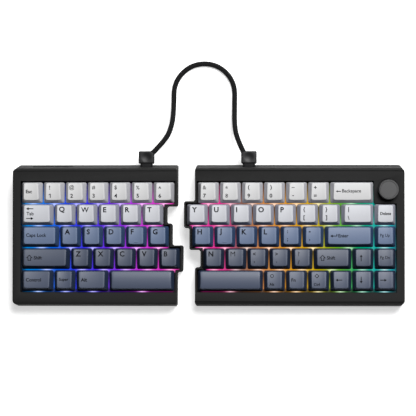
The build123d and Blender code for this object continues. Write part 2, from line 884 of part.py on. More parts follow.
def build_nodes():
    """Every node of the keyboard, as lists of solids."""
    housings, stabilizers = switches()
    route = cable_route()
    nodes = keys()
    for side in halves:
        body = case_body(side)
        nodes[side + "_top_case"] = [top_case(side, body)]
        nodes[side + "_bottom_case"] = [bottom_case(side, body)]
        nodes[side + "_switch_plate"] = [switch_plate(side)]
        nodes[side + "_circuit_board"] = [circuit_board(side)]
    nodes["switch_housings"] = housings
    nodes["stabilizer_housings"] = stabilizers
    nodes["plate_gaskets"] = plate_gaskets()
    nodes["rubber_feet"] = rubber_feet()
    nodes["usb_sockets"] = usb_sockets()
    nodes["battery"] = [battery()]
    nodes["mode_switch_body"] = [mode_switch_body()]
    nodes["mode_slider"] = [mode_slider()]
    nodes["encoder_body"] = [encoder_body()]
    nodes["encoder_rotor"] = [encoder_rotor()]
    nodes["encoder_shaft"] = [encoder_shaft()]
    nodes["volume_knob"] = [volume_knob()]
    nodes["bridge_cable"] = [bridge_cable()]
    nodes["left_bridge_plug"] = bridge_plug(left_port_x, route[0], route[1])
    nodes["right_bridge_plug"] = bridge_plug(right_port_x, route[-1], route[-2])
    return nodes


os.makedirs("parts", exist_ok=True)
for name, shapes in build_nodes().items():
    solids = [solid for shape in shapes for solid in shape.solids()]
    whole = solids[0] if len(solids) == 1 else Compound(children=solids)
    export_step(whole, f"parts/{name}.step")
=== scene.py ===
"""The looks of a split keyboard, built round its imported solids: keycaps with their legends, lit plates,
softened cases, knob, plugs and bridge cable, and a pale studio. Lengths are in metres.

Pieces are drawn in key-plane coordinates, as the part's source has them: x as on the desk, y from the front
edge of the key field, and z up from the top of the switch plate. key_plane() then tilts them.
"""

import json

import bmesh
import bpy
from math import cos, exp, pi, radians, sqrt, tan
from mathutils import Matrix, Vector


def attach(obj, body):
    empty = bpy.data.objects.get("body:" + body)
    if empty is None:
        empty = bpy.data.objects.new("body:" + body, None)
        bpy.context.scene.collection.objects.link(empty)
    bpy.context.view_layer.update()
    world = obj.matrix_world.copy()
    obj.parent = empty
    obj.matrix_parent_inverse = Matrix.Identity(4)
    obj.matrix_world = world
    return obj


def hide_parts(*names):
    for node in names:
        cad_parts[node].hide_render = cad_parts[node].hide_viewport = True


bl_info = {
    "name": "Split keyboard",
    "version": (1, 0, 0),
    "blender": (4, 5, 0),
    "location": "3D View > Sidebar > Split keyboard",
    "description": "Builds the looks of a split keyboard round its packed solids",
    "category": "Add Mesh",
}

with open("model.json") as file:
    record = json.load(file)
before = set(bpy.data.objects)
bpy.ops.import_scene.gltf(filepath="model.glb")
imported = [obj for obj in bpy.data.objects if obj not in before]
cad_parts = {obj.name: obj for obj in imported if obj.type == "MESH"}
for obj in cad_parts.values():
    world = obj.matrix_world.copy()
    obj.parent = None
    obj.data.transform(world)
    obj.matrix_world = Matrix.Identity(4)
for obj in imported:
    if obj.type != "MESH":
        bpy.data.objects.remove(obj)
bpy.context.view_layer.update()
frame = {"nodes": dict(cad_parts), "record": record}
nodes = frame["nodes"]
slot_of = {part["node"]: part["material_slot"] for part in frame["record"]["subparts"]}
mm = 0.001

# Places that the solids follow as well
TYPING_ANGLE = radians(6)
PLANE_Y = -50.512 * mm
PLANE_Z = 12.3 * mm
RIM_HEIGHT = 9.0 * mm
GROOVES_Y = (-8.8 * mm, 104.45 * mm)
FIELD_X = 162.15 * mm
SKIRT_HEIGHT = 6.0 * mm
KNOB_PLACE = (155.35 * mm, 88.125 * mm, 0)
ROW_COUNT = 5

# Points nearer than these count as one: in a CAD node's triangles, in cut or turned shapes, and in letters
NODE_WELD = 0.002 * mm
SHAPE_WELD = 0.001 * mm
LETTER_WELD = 0.0005 * mm

# Points nearer than this to a face or a line lie on it
SAME_PLACE = 0.02 * mm

# Degrees: faces that turn less are one flat face, and edges at which the surface turns more are sharp
FLAT_ANGLE = 0.5
SHARP_ANGLE = 30
CAP_SHARP_ANGLE = 32


def letter_keys(alphabet):
    """Row entries for letters, each with a node of its own."""
    return tuple(("key_" + letter.lower(), 1, letter) for letter in alphabet)


def two_line_keys(node, *pairs):
    """Row entries for keys that show one sign over another."""
    return tuple((node, 1, "\n".join(pair)) for pair in pairs)


# Rows from the rear, each from the outer edge of its half inwards: node, width in key pitches and legend. A
# place without a node has no key. A legend of one line is a letter, an arrow, words, or a sign and a word.
# The lines of others stand over each other.
LEFT_ROWS = (
    (("left_edge_keys", 1, "Esc"),) + two_line_keys("number_keys", "!1", "@2", "#3", "$4", "%5", "^6"),
    (("left_edge_keys", 1.5, "←\nTab\n→"),) + letter_keys("QWERT"),
    (("left_edge_keys", 1.75, "Caps Lock"),) + letter_keys("ASDFG"),
    (("left_edge_keys", 2.25, "⇧ Shift"),) + letter_keys("ZXCVB"),
    (
        ("modifier_keys", 1.5, "Control"),
        ("modifier_keys", 1, "Super"),
        ("modifier_keys", 1.5, "Alt"),
        ("left_space_bar", 3, ""),
    ),
)
RIGHT_ROWS = (
    (("", 1, ""), ("right_edge_keys", 2, "← Backspace"))
    + two_line_keys("number_keys", "+=", "_-", ")0", "(9", "*8", "&7"),
    (("navigation_keys", 1, "Delete"), ("right_edge_keys", 1.5, "|\n\\"))
    + two_line_keys("punctuation_keys", "}]", "{[")
    + letter_keys("POIUY"),
    (("navigation_keys", 1, "Pg Up"), ("right_edge_keys", 2.25, "↵ Enter"))
    + two_line_keys("punctuation_keys", "\"'", ":;")
    + letter_keys("LKJH"),
    (("navigation_keys", 1, "Pg Dn"), ("arrow_keys", 1, "↑"), ("right_edge_keys", 1.75, "⇧ Shift"))
    + two_line_keys("punctuation_keys", "?/", ">.", "<,")
    + letter_keys("MN"),
    (
        ("arrow_keys", 1, "→"),
        ("arrow_keys", 1, "↓"),
        ("arrow_keys", 1, "←"),
        ("modifier_keys", 1, "◇\nCtrl"),
        ("modifier_keys", 1, "Fn"),
        ("modifier_keys", 1, "○\nAlt"),
        ("right_space_bar", 3, ""),
    ),
)

# For each half: the direction inwards along x, the outer edge of its key field and its rows
HALVES = {"left": (1, -FIELD_X, LEFT_ROWS), "right": (-1, FIELD_X, RIGHT_ROWS)}

# Middles of the plugs' upper faces, in key-plane coordinates
PLUG_X = {"left": -54.35 * mm, "right": 35.25 * mm}
PLUG_Y = 117.0 * mm

# The bridge cable's middle line, as in the part's source
CABLE_ROUTE = (
    (-0.0492, 0.07058, 0.01675),
    (-0.0375, 0.08228, 0.01646),
    (-0.0323, 0.09688, 0.01025),
    (-0.0313, 0.11378, 0.00309),
    (-0.0313, 0.13728, 0.0023),
    (-0.0155, 0.15308, 0.0023),
    (0.0067, 0.15307, 0.0023),
    (0.0225, 0.13727, 0.0023),
    (0.0225, 0.11377, 0.0031),
    (0.0224, 0.09937, 0.01027),
    (0.0242, 0.08447, 0.0165),
    (0.0307, 0.07097, 0.01679),
)


def key_plane():
    """The matrix from key-plane coordinates to the desk's."""
    return Matrix.Translation((0, PLANE_Y, PLANE_Z)) @ Matrix.Rotation(TYPING_ANGLE, 4, "X")


def length(name, description, default):
    """A length that a user may change."""
    return bpy.props.FloatProperty(
        name=name, description=description, default=default, unit="LENGTH", precision=5
    )


def colour(name, description, default):
    """A colour that a user may change."""
    return bpy.props.FloatVectorProperty(
        name=name, description=description, default=default, subtype="COLOR", size=3, min=0, max=1
    )


class KeycapSettings(bpy.types.PropertyGroup):
    """Sizes and colours of the keycaps."""

    pitch: length("Key pitch", "Distance from one key's middle to the next", 19.05 * mm)
    gap: length("Gap", "Gap between neighbouring caps at their skirts", 0.95 * mm)
    side_inset: length("Side inset", "How far each side wall leans in by the cap's height", 2.6 * mm)
    front_inset: length("Front inset", "How far the front wall leans in by the cap's height", 2.6 * mm)
    rear_inset: length("Rear inset", "How far the rear wall leans in by the cap's height", 1.0 * mm)
    dish: length("Dish", "Depth of the dish across a cap's top", 0.7 * mm)
    bar_radius: length("Bar radius", "Radius of a space bar's rounded top", 30.0 * mm)
    wall: length("Wall", "Thickness of a cap's walls and top", 1.5 * mm)
    corner: length("Corner", "Rounding of the upright corners", 1.5 * mm)
    edge: length("Edge", "Rounding of the edge round the top", 0.55 * mm)
    number_row: colour("Number row", "Colour of the rear row's caps", (0.62, 0.62, 0.625))
    upper_row: colour("Upper row", "Colour of the second row's caps", (0.55, 0.56, 0.595))
    home_row: colour("Home row", "Colour of the third row's caps", (0.122, 0.165, 0.265))
    lower_row: colour("Lower row", "Colour of the fourth row's caps", (0.055, 0.069, 0.108))
    front_row: colour("Front row", "Colour of the front row's caps", (0.065, 0.081, 0.127))
    legend: colour("Legends", "Colour of the letters", (0.008, 0.009, 0.012))


class CaseSettings(bpy.types.PropertyGroup):
    """Finish of the cases, knob, plugs and cable."""

    edge: length("Edge", "Rounding of the cases' edges", 0.35 * mm)
    case: colour("Case", "Colour of the matt cases", (0.0125, 0.0125, 0.0125))
    knob: colour("Knob", "Colour of the knob", (0.05, 0.05, 0.051))
    cable: colour("Cable", "Colour of the braid", (0.007, 0.007, 0.0075))
    cable_diameter: length("Cable diameter", "Outside diameter of the bridge cable", 4.5 * mm)


class LightSettings(bpy.types.PropertyGroup):
    """Strength of the light under the keys and in the studio."""

    backlight: bpy.props.FloatProperty(
        name="Backlight", description="Strength of the light under the keys", default=1.3, min=0
    )
    room: bpy.props.FloatProperty(
        name="Room", description="Strength of the even light all round", default=0.45, min=0
    )
    key: bpy.props.FloatProperty(
        name="Key light",
        description="Power of the large lamp to the rear right",
        default=55.0,
        min=0,
        unit="POWER",
    )


# Helpers


def settings(group):
    """One of this file's groups of settings."""
    return getattr(bpy.context.scene, "split_keyboard_" + group)


def object_from(name, bm, materials):
    """A new object with the bmesh's faces and the given materials. The bmesh is freed."""
    mesh = bpy.data.meshes.new(name)
    bm.to_mesh(mesh)
    bm.free()
    for material in materials:
        mesh.materials.append(material)
    made = bpy.data.objects.new(name, mesh)
    bpy.context.scene.collection.objects.link(made)
    return made


def add_to(target, source, matrix):
    """Adds a copy of one bmesh, moved by the matrix, to another, and frees it."""
    source.transform(matrix)
    carrier = bpy.data.meshes.new("carrier")
    source.to_mesh(carrier)
    source.free()
    target.from_mesh(carrier)
    bpy.data.meshes.remove(carrier)


def smooth_by_angle(bm, degrees):
    """Smooth faces, with the edges that turn more than the angle kept sharp."""
    for face in bm.faces:
        face.smooth = True
    for edge in bm.edges:
        edge.smooth = len(edge.link_faces) == 2 and edge.calc_face_angle(0) < radians(degrees)


def bevel_edges(bm, edges, offset, segments, clamp=True):
    """Rounds the given edges and returns the new faces."""
    return bmesh.ops.bevel(
        bm,
        geom=edges,
        offset=offset,
        offset_type="OFFSET",
        segments=segments,
        profile=0.5,
        affect="EDGES",
        material=-1,
        clamp_overlap=clamp,
    )["faces"]


def cut_across(bm, axis, place, geom=None):
    """Cuts the bmesh, or the given elements of it, along a plane across the x (0) or y (1) axis."""
    if geom is None:
        geom = bm.verts[:] + bm.edges[:] + bm.faces[:]
    point, normal = [0, 0, 0], [0, 0, 0]
    point[axis], normal[axis] = place, 1
    bmesh.ops.bisect_plane(bm, geom=geom, plane_co=point, plane_no=normal, dist=SHAPE_WELD)


def evenly(reach, count):
    """Evenly spaced places from -reach to reach."""
    return [(step / (count - 1) * 2 - 1) * reach for step in range(count)]


def centred(size):
    """The limits of a size that has its middle at 0."""
    return -size / 2, size / 2


def merged_copy(node):
    """A bmesh of a CAD node with its loose triangles joined into flat faces."""
    bm = bmesh.new()
    bm.from_mesh(nodes[node].data)
    bmesh.ops.remove_doubles(bm, verts=bm.verts, dist=NODE_WELD)
    bmesh.ops.dissolve_limit(bm, angle_limit=radians(FLAT_ANGLE), verts=bm.verts, edges=bm.edges)
    return bm


def sharp_edges(bm, degrees):
    """The edges at which the surface turns more than the angle."""
    return [e for e in bm.edges if len(e.link_faces) == 2 and e.calc_face_angle(0) > radians(degrees)]


def dress(piece, body, slot, *replaced):
    """Seats a piece on its body and hides the nodes that it stands for. Its finish's slot is not used."""
    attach(piece, body)
    if replaced:
        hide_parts(*replaced)
    return piece


def paint(node, material):
    """Gives a CAD node its material."""
    nodes[node].data.materials.clear()
    nodes[node].data.materials.append(material)


# Materials


class Shader:
    """A material's node tree, with short ways to add and link nodes."""

    def __init__(self, name):
        self.material = bpy.data.materials.new(name)
        self.material.use_nodes = True
        self.tree = self.material.node_tree
        self.principled = self.tree.nodes["Principled BSDF"]

    def add(self, kind, **values):
        """A node with its properties or input values set."""
        node = self.tree.nodes.new(kind)
        for name, value in values.items():
            if hasattr(node, name):
                setattr(node, name, value)
            else:
                node.inputs[name].default_value = value
        return node

    def link(self, output, target):
        """Links an output to an input."""
        self.tree.links.new(output, target)

    def set(self, **values):
        """Sets plain values on the shader's own sockets."""
        for name, value in values.items():
            self.principled.inputs[name.replace("_", " ")].default_value = value

    def math(self, operation, *values):
        """The output of a math node. Each of its values is a number or another node's output."""
        node = self.add("ShaderNodeMath", operation=operation)
        for socket, value in zip(node.inputs, values):
            if isinstance(value, bpy.types.NodeSocket):
                self.link(value, socket)
            else:
                socket.default_value = value
        return node.outputs[0]

    def bump(self, height, strength, distance):
        """Makes the surface rise and fall with an output."""
        node = self.add("ShaderNodeBump", Strength=strength, Distance=distance)
        self.link(height, node.inputs["Height"])
        self.link(node.outputs["Normal"], self.principled.inputs["Normal"])

    def mix_base(self, base, low, high, factor):
        """Makes the base colour run from its low to its high multiple with an output."""
        node = self.add("ShaderNodeMix", data_type="RGBA")
        node.inputs["A"].default_value = (*[min(1, value * low) for value in base], 1)
        node.inputs["B"].default_value = (*[min(1, value * high) for value in base], 1)
        self.link(factor, node.inputs["Factor"])
        self.link(node.outputs["Result"], self.principled.inputs["Base Color"])


def plain(name, base, roughness, metallic=0.0, specular=0.5):
    """A material of one colour."""
    shader = Shader(name)
    shader.set(Base_Color=(*base, 1), Roughness=roughness, Metallic=metallic)
    shader.principled.inputs["Specular IOR Level"].default_value = specular
    return shader


def grain_group():
    """A node group for a fine moulded grain, as a height for bumps and for a change of colour."""
    name = "fine_grain"
    if name in bpy.data.node_groups:
        return bpy.data.node_groups[name]
    group = bpy.data.node_groups.new(name, "ShaderNodeTree")
    group.interface.new_socket("Scale", in_out="INPUT", socket_type="NodeSocketFloat")
    group.interface.new_socket("Height", in_out="OUTPUT", socket_type="NodeSocketFloat")
    start = group.nodes.new("NodeGroupInput")
    end = group.nodes.new("NodeGroupOutput")
    place = group.nodes.new("ShaderNodeTexCoord")
    noise = group.nodes.new("ShaderNodeTexNoise")
    noise.inputs["Detail"].default_value = 3
    links = group.links
    links.new(place.outputs["Object"], noise.inputs["Vector"])
    links.new(start.outputs["Scale"], noise.inputs["Scale"])
    links.new(noise.outputs["Fac"], end.inputs["Height"])
    return group


def add_grain(shader, base, scale, strength, spread):
    """Adds the fine grain to a material as a bump and a slight change of colour."""
    grain = shader.add("ShaderNodeGroup", node_tree=grain_group(), Scale=scale)
    shader.bump(grain.outputs["Height"], strength, 0.02 * mm)
    shader.mix_base(base, 1 - spread, 1 + spread, grain.outputs["Height"])
    return shader


def cap_material(name, base):
    """Matt cap plastic with a fine grain."""
    shader = plain(name, base, 0.48)
    return add_grain(shader, base, scale=1600, strength=0.25, spread=0.03).material


def case_material():
    """Matt black moulded plastic."""
    base = settings("cases").case
    shader = plain("case_black", base, 0.75, specular=0.22)
    return add_grain(shader, base, scale=2600, strength=0.3, spread=0.06).material


def lit_plate_material():
    """Satin plate that carries the coloured light from under the keys, as its glow attribute says."""
    shader = plain("lit_plate", (0.03, 0.03, 0.03), 0.5)
    glow = shader.add("ShaderNodeAttribute", attribute_name="glow")
    # Painted glow: the plate itself emits the light from under the keys, though it is no lamp
    shader.link(glow.outputs["Color"], shader.principled.inputs["Emission Color"])
    shader.principled.inputs["Emission Strength"].default_value = settings("lights").backlight
    return shader.material


def braid_material():
    """Tight black braid, as crossed diagonal threads round the cable."""
    base = settings("cases").cable
    shader = plain("cable_braid", base, 0.8, specular=0.15)
    place = shader.add("ShaderNodeTexCoord")
    parts = shader.add("ShaderNodeSeparateXYZ")
    shader.link(place.outputs["UV"], parts.inputs["Vector"])
    turns, threads = 150, 10
    waves = []
    for direction in (1, -1):
        along = shader.math("MULTIPLY", parts.outputs["X"], turns * 2 * pi)
        around = shader.math("MULTIPLY_ADD", parts.outputs["Y"], direction * threads * 2 * pi, along)
        waves.append(shader.math("SINE", around))
    top = shader.math("MAXIMUM", *waves)
    shader.bump(top, 0.6, 0.15 * mm)
    # Painted shade and highlight: the braid is darker in the hollows between threads and lighter on their
    # crests
    painted_weave_shade = shader.add("ShaderNodeMapRange")
    painted_weave_shade.inputs["From Min"].default_value = -0.4
    shader.link(top, painted_weave_shade.inputs["Value"])
    shader.mix_base(base, 0.3, 1.6, painted_weave_shade.outputs["Result"])
    return shader.material


# Keys


def key_places(side):
    """Node, row, middle, width and legend of each key of a half, in key-plane coordinates."""
    caps = settings("keycaps")
    inward, field_x, rows = HALVES[side]
    places = []
    for row, keys in enumerate(rows):
        y = (ROW_COUNT - row - 0.5) * caps.pitch
        reach = 0
        for node, share, legend in keys:
            width = share * caps.pitch
            if node:
                x = field_x + inward * (reach + width / 2)
                places.append((node, row, x, y, width - caps.gap, legend))
            reach += width
    return places


# Each row's cap height at the middle of the dish, and its top's tilt in degrees, from the rear row forwards
CAP_HEIGHTS = (9.0 * mm, 7.9 * mm, 7.2 * mm, 7.7 * mm, 7.7 * mm)
CAP_TILTS = (6, 3, 0, -5, -5)
HOMING_KEYS = ("key_f", "key_j")

# Cuts across a cap that its dished top bends at, and how far they stay from its round corners, in roundings
CAP_CUTS = 7
BAR_CUTS = 5
CORNER_ROOM = 1.1

# Normals whose z is above these belong to the top of a cap, before and after its edge is rounded
TOP_NORMAL = 0.75
# Faces with a lower z take the caps' darker wall colour, which paints shade on the walls
SOFT_TOP_NORMAL = 0.45

# The stem under a cap: its block in the switch housing, its post, and the stabilizers' posts under wide keys
STEM_FOOT = 0.2 * mm
STEM_SHOULDER = 6.3 * mm
STEM_BLOCK = (7.0 * mm, 5.3 * mm)
STEM_POST = 4.0 * mm
STABILIZER_POST = 3.4 * mm
STABILIZER_REACH = 11.94 * mm

# Widths in key pitches: keys that have stabilizers are wider than the first, and space bars than the second
WIDE_KEY = 1.9
LONG_KEY = 2.9

# Painted shade on the caps' walls: their colour against the top's, row by row, darker where less light falls
PAINTED_WALL_SHADES = {
    "number_row": (0.8, 0.8, 0.84),
    "upper_row": (0.62, 0.62, 0.68),
    "home_row": (0.26, 0.38, 0.52),
    "lower_row": (0.28, 0.38, 0.5),
    "front_row": (0.28, 0.38, 0.5),
}


def top_height(row, width, is_bar, x, y):
    """Height of a cap's top over its skirt, at a place on the cap."""
    caps = settings("keycaps")
    if is_bar:
        return CAP_HEIGHTS[row] - caps.bar_radius + sqrt(caps.bar_radius**2 - y**2)
    top_width = width - 2 * caps.side_inset
    radius = top_width**2 / (8 * caps.dish) + caps.dish / 2
    tilt = radians(CAP_TILTS[row])
    return CAP_HEIGHTS[row] + y * tan(tilt) + (radius - sqrt(radius**2 - x**2)) / cos(tilt)


def leaning_block(width, depth, height, slopes):
    """A block on the origin whose walls lean in by the side, front and rear slopes."""
    bm = bmesh.new()
    bmesh.ops.create_cube(bm, size=1)
    side, front, rear = slopes
    for vert in bm.verts:
        lean = height if vert.co.z > 0 else 0
        inset = front if vert.co.y < 0 else rear
        vert.co.x *= width - 2 * side * lean
        vert.co.y *= depth - 2 * inset * lean
        vert.co.z = lean
    return bm


def fit_top(bm, row, width, is_bar, peak):
    """Lowers the top of a block onto the cap's top, along the edges of its walls."""
    for vert in [v for v in bm.verts if v.co.z > peak / 2]:
        feet = [e.other_vert(vert).co for e in vert.link_edges if e.other_vert(vert).co.z < peak / 2]
        start, foot = vert.co.copy(), feet[0].copy() if feet else None
        for _ in range(3):
            height = top_height(row, width, is_bar, vert.co.x, vert.co.y)
            if foot is None:
                vert.co.z = height
            else:
                vert.co = foot.lerp(start, height / peak)
    bm.normal_update()


def rim_edges(bm, lowest):
    """The edges between a cap's top and its walls."""
    rim = []
    for edge in bm.edges:
        is_top = sorted(face.normal.z > TOP_NORMAL for face in edge.link_faces)
        if is_top == [False, True] and min(v.co.z for v in edge.verts) > lowest:
            rim.append(edge)
    return rim


def hollow_out(bm, row, width, depth, slopes):
    """Opens a cap from below, with walls and a ceiling of the set thickness."""
    caps = settings("keycaps")
    below = [f for f in bm.faces if all(v.co.z < 0.01 * mm for v in f.verts)]
    mouth = bmesh.ops.dissolve_faces(bm, faces=below, use_verts=False)["region"]
    bmesh.ops.inset_region(bm, faces=mouth, thickness=caps.wall, use_even_offset=True)
    ceiling = bmesh.ops.extrude_face_region(bm, geom=mouth)["geom"]
    inside = CAP_HEIGHTS[row] - caps.wall
    for vert in [g for g in ceiling if isinstance(g, bmesh.types.BMVert)]:
        slope = slopes[1] if vert.co.y < 0 else slopes[2]
        vert.co.x *= 1 - 2 * slopes[0] * inside / width
        vert.co.y *= 1 - 2 * slope * inside / depth
        vert.co.z = inside
    bmesh.ops.delete(bm, geom=[f for f in mouth if f.is_valid], context="FACES_KEEP_BOUNDARY")
    bmesh.ops.recalc_face_normals(bm, faces=bm.faces)


def cap_shape(row, width, is_bar):
    """One hollow keycap on the origin: leaning walls, round corners, a dished top with a soft edge."""
    caps = settings("keycaps")
    depth = caps.pitch - caps.gap
    peak = CAP_HEIGHTS[row] + caps.dish + depth / 2 * tan(radians(abs(CAP_TILTS[row]))) + 0.2 * mm
    slopes = [inset / CAP_HEIGHTS[row] for inset in (caps.side_inset, caps.front_inset, caps.rear_inset)]
    bm = leaning_block(width, depth, peak, slopes)
    leaning = [e for e in bm.edges if abs(e.verts[0].co.z - e.verts[1].co.z) > peak / 2]
    bevel_edges(bm, leaning, caps.corner, 4)
    corner_room = CORNER_ROOM * caps.corner
    for place in evenly(width / 2 - slopes[0] * peak - corner_room, BAR_CUTS if is_bar else CAP_CUTS):
        cut_across(bm, 0, place)
    if is_bar:
        for place in evenly(depth / 2 - slopes[1] * peak - corner_room, BAR_CUTS):
            cut_across(bm, 1, place)
    fit_top(bm, row, width, is_bar, peak)
    bevel_edges(bm, rim_edges(bm, peak / 3), caps.edge, 3)
    hollow_out(bm, row, width, depth, slopes)
    # Upward faces take the cap's colour and the rest its darker copy, which paints shade on the walls
    for face in bm.faces:
        face.material_index = 0 if face.normal.z > SOFT_TOP_NORMAL else 1
    smooth_by_angle(bm, CAP_SHARP_ANGLE)
    return bm


def box_shape(x_range, y_range, z_range):
    """A plain box between the given limits."""
    bm = bmesh.new()
    bmesh.ops.create_cube(bm, size=1)
    for axis, (low, high) in enumerate((x_range, y_range, z_range)):
        for vert in bm.verts:
            vert.co[axis] = high if vert.co[axis] > 0 else low
    return bm


def stem_shapes(row, width):
    """The stem under a cap, and the stabilizers' posts under a wide one."""
    caps = settings("keycaps")
    top = SKIRT_HEIGHT + CAP_HEIGHTS[row] - caps.wall
    block_width, block_depth = STEM_BLOCK
    shapes = [
        box_shape(centred(block_width), centred(block_depth), (STEM_FOOT, STEM_SHOULDER)),
        box_shape(centred(STEM_POST), centred(STEM_POST), (STEM_SHOULDER, top)),
    ]
    if width > WIDE_KEY * caps.pitch:
        reach = STABILIZER_REACH if width < LONG_KEY * caps.pitch else caps.pitch
        for x in (-reach, reach):
            sides = (x - STABILIZER_POST / 2, x + STABILIZER_POST / 2)
            shapes.append(box_shape(sides, centred(STABILIZER_POST), (STEM_FOOT, top)))
    return shapes


# Legends: how far the ink stands off the cap, and the steps in which a bold stroke is thinned
INK_HEIGHT = 0.03 * mm
BOLD_STEPS = 20

# Sizes of letters, words and signs
LETTER_SIZE = 6.1 * mm
WORD_SIZE = 4.1 * mm
SMALL_WORD_SIZE = 3.5 * mm
SIGNED_WORD_SIZE = 4.0 * mm
SIGN_SIZES = {"⇧": 5.4 * mm, "↵": 6.0 * mm, "←": 4.4 * mm}
LONE_ARROW_SIZE = 5.8 * mm
TAB_ARROW_SIZE = 6.3 * mm
LINE_SIZE = 4.6 * mm
LARGE_LINE_SIZE = 5.4 * mm
LARGE_LINES = "*?"
MARK_SIZE = 4.0 * mm
MARKED_WORD_SIZE = 3.3 * mm

# How far the sides of their strokes are moved out. Letters and signs with narrow openings take less.
LETTER_BOLD = 0.19 * mm
NARROW_LETTER_BOLDS = {"M": 0, "W": 0.1 * mm}
WORD_BOLD = 0.13 * mm
NARROW_LINE_BOLD = 0.05 * mm
NARROW_LINES = "&@#%$8*?"
MARK_BOLD = 0.09 * mm
SIGN_BOLD = 0.05 * mm

# Places: from the left edge of a cap's top, from its rear edge, and from the middle
LEGEND_INSET = 2.0 * mm
LONE_ARROW_MIDDLE = 2.6 * mm
LINE_MIDDLE = 1.4 * mm
UPPER_LINE = 3.9 * mm
LOWER_LINE = 10.9 * mm
MARK_LINE = 3.8 * mm
MARKED_WORD_LINE = 11.0 * mm
TAB_ARROW_REACH = 4.2 * mm
SIGN_GAP = 0.9 * mm

# An arrow's stroke, and the length of its head and the rise of the return sign as shares of its length
ARROW_STROKE = 0.7 * mm
ARROW_HEAD = 0.36
RETURN_RISE = 0.3


def letters(text, size, bold):
    """A bmesh of thin raised letters on the origin, each side of their strokes moved out by the boldness."""
    curve = bpy.data.curves.new("writing", "FONT")
    curve.body = text
    curve.size = size
    curve.offset = bold
    curve.extrude = INK_HEIGHT
    curve.resolution_u = 3
    written = bpy.data.objects.new("writing", curve)
    bpy.context.scene.collection.objects.link(written)
    bpy.context.view_layer.update()
    mesh = bpy.data.meshes.new_from_object(written.evaluated_get(bpy.context.evaluated_depsgraph_get()))
    bm = bmesh.new()
    bm.from_mesh(mesh)
    bmesh.ops.remove_doubles(bm, verts=bm.verts, dist=LETTER_WELD)
    bpy.data.objects.remove(written)
    bpy.data.curves.remove(curve)
    bpy.data.meshes.remove(mesh)
    return bm


def writing(text, size, bold):
    """Letters on the origin, less bold where a bolder outline would fold over itself."""
    for step in range(BOLD_STEPS, BOLD_STEPS // 4, -1):
        bm = letters(text, size, bold * step / BOLD_STEPS)
        if all(edge.is_contiguous for edge in bm.edges):
            return bm
        bm.free()
    return letters(text, size, bold)


def extent(bm):
    """Lowest and highest x and y of a bmesh."""
    xs = [v.co.x for v in bm.verts]
    ys = [v.co.y for v in bm.verts]
    return min(xs), max(xs), min(ys), max(ys)


def text_width(bm):
    """The width of a bmesh."""
    x0, x1, _, _ = extent(bm)
    return x1 - x0


def placed(shape, x, y):
    """The shape moved so that its left edge is at x and its middle at y."""
    x0, _, y0, y1 = extent(shape)
    bmesh.ops.translate(shape, verts=shape.verts, vec=(x - x0, y - (y0 + y1) / 2, 0))
    return shape


def arrow(reach, direction):
    """A thin arrow on the origin: a shaft with a three-cornered head, pointing in one of four directions."""
    head = ARROW_HEAD * reach
    tip_radius = head / 1.5
    bm = box_shape((-reach / 2, reach / 2 - head), centred(ARROW_STROKE), centred(2 * INK_HEIGHT))
    tip = bmesh.new()
    bmesh.ops.create_cone(
        tip, cap_ends=True, segments=3, radius1=tip_radius, radius2=tip_radius, depth=2 * INK_HEIGHT
    )
    turn = Matrix.Rotation(radians(-90), 4, "Z")
    add_to(bm, tip, Matrix.Translation((reach / 2 - tip_radius, 0, 0)) @ turn)
    angle = {"right": 0, "up": 90, "left": 180, "down": 270}[direction]
    bm.transform(Matrix.Rotation(radians(angle), 4, "Z"))
    return bm


def sign_shape(sign, size):
    """A sign of a legend: an arrow, the return sign, or a letter of the built-in font."""
    directions = {"←": "left", "→": "right", "↑": "up", "↓": "down", "↵": "left"}
    if sign not in directions:
        return writing(sign, size * 1.2, SIGN_BOLD)
    bm = arrow(size, directions[sign])
    if sign == "↵":
        x_range = (size / 2 - ARROW_STROKE, size / 2)
        y_range = (-ARROW_STROKE / 2, RETURN_RISE * size)
        add_to(bm, box_shape(x_range, y_range, centred(2 * INK_HEIGHT)), Matrix())
    return bm


def add_flag(digit):
    """Adds the slanting stroke at the top left of a 1."""
    flag = box_shape((-1.2 * mm, 0), centred(0.5 * mm), centred(2 * INK_HEIGHT))
    left, _, _, rear = extent(digit)
    place = Matrix.Translation((left, rear - 0.3 * mm, 0))
    add_to(digit, flag, place @ Matrix.Rotation(radians(38), 4, "Z"))


def two_line_shapes(lines, left, rear):
    """Two signs of a legend, one over the other."""
    signs = []
    for line in lines:
        size = LARGE_LINE_SIZE if line in LARGE_LINES else LINE_SIZE
        bold = NARROW_LINE_BOLD if line in NARROW_LINES else WORD_BOLD
        signs.append(writing(line, size, bold))
    if lines[1] == "1":
        add_flag(signs[1])
    upper_x, lower_x = [left + LINE_MIDDLE - text_width(sign) / 2 for sign in signs]
    return [placed(signs[0], upper_x, rear - UPPER_LINE), placed(signs[1], lower_x, rear - LOWER_LINE)]


